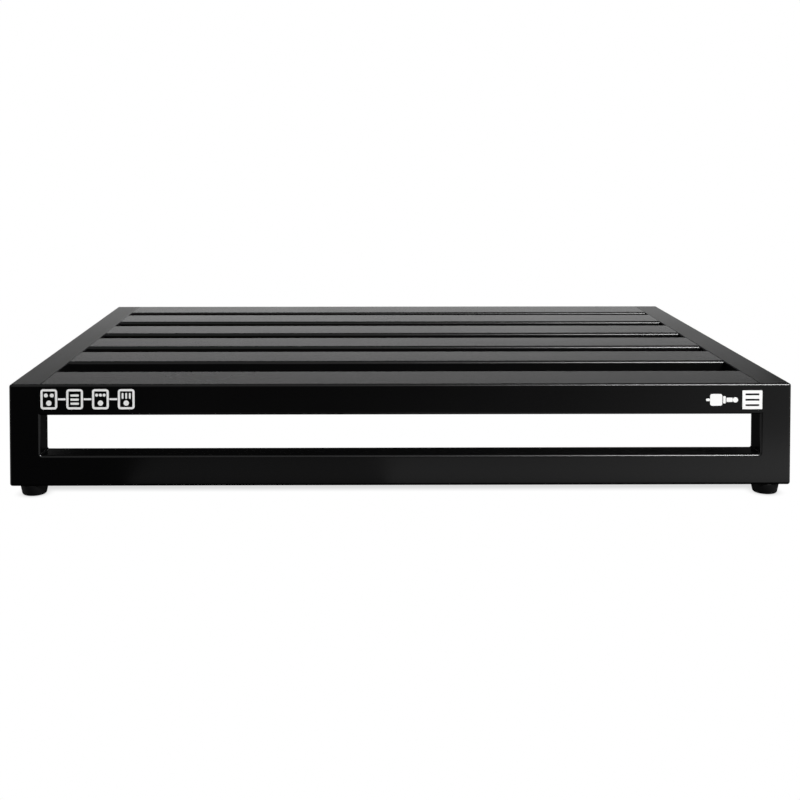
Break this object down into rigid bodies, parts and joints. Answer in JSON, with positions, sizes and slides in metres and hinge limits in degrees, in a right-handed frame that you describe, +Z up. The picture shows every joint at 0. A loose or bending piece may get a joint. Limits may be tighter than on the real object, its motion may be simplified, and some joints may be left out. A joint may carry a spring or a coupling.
{
  "type": "pedalboard",
  "caption": "Low slatted frame with open windows at front and rear, standing on rubber feet, that holds effect pedals and routes their cables underneath.",
  "frame": {"origin": "on the floor, under the middle of the board", "axes": "+X to the right along the width, +Y from the player's side to the rear, +Z up"},
  "size_m": [0.6096, 0.4318, 0.0884],
  "materials": {
    "powder_coat": "fine satin black powder coat on aluminium tube",
    "coated_weld": "weld bead under the same black powder coat",
    "rubber": "matt black moulded rubber",
    "black_oxide": "black oxide steel screw",
    "zinc_plate": "bright zinc-plated steel"
  },
  "bodies": {
    "root": {"left_side_tube": "powder_coat", "right_side_tube": "powder_coat", "front_slat": "powder_coat", "second_slat": "powder_coat", "third_slat": "powder_coat", "fourth_slat": "powder_coat", "fifth_slat": "powder_coat", "rear_slat": "powder_coat", "front_lower_rail": "powder_coat", "rear_lower_rail": "powder_coat", "front_left_leg": "powder_coat", "front_right_leg": "powder_coat", "rear_left_leg": "powder_coat", "rear_right_leg": "powder_coat", "side_tube_caps": "powder_coat", "lower_rail_caps": "powder_coat", "front_window_welds": "coated_weld", "rear_window_welds": "coated_weld", "left_slat_welds": "coated_weld", "right_slat_welds": "coated_weld", "leg_welds": "coated_weld", "front_left_foot": "rubber", "front_right_foot": "rubber", "rear_left_foot": "rubber", "rear_right_foot": "rubber", "foot_screws": "black_oxide", "foot_washers": "zinc_plate", "foot_rivet_nuts": "zinc_plate"}
  },
  "joints": []
}
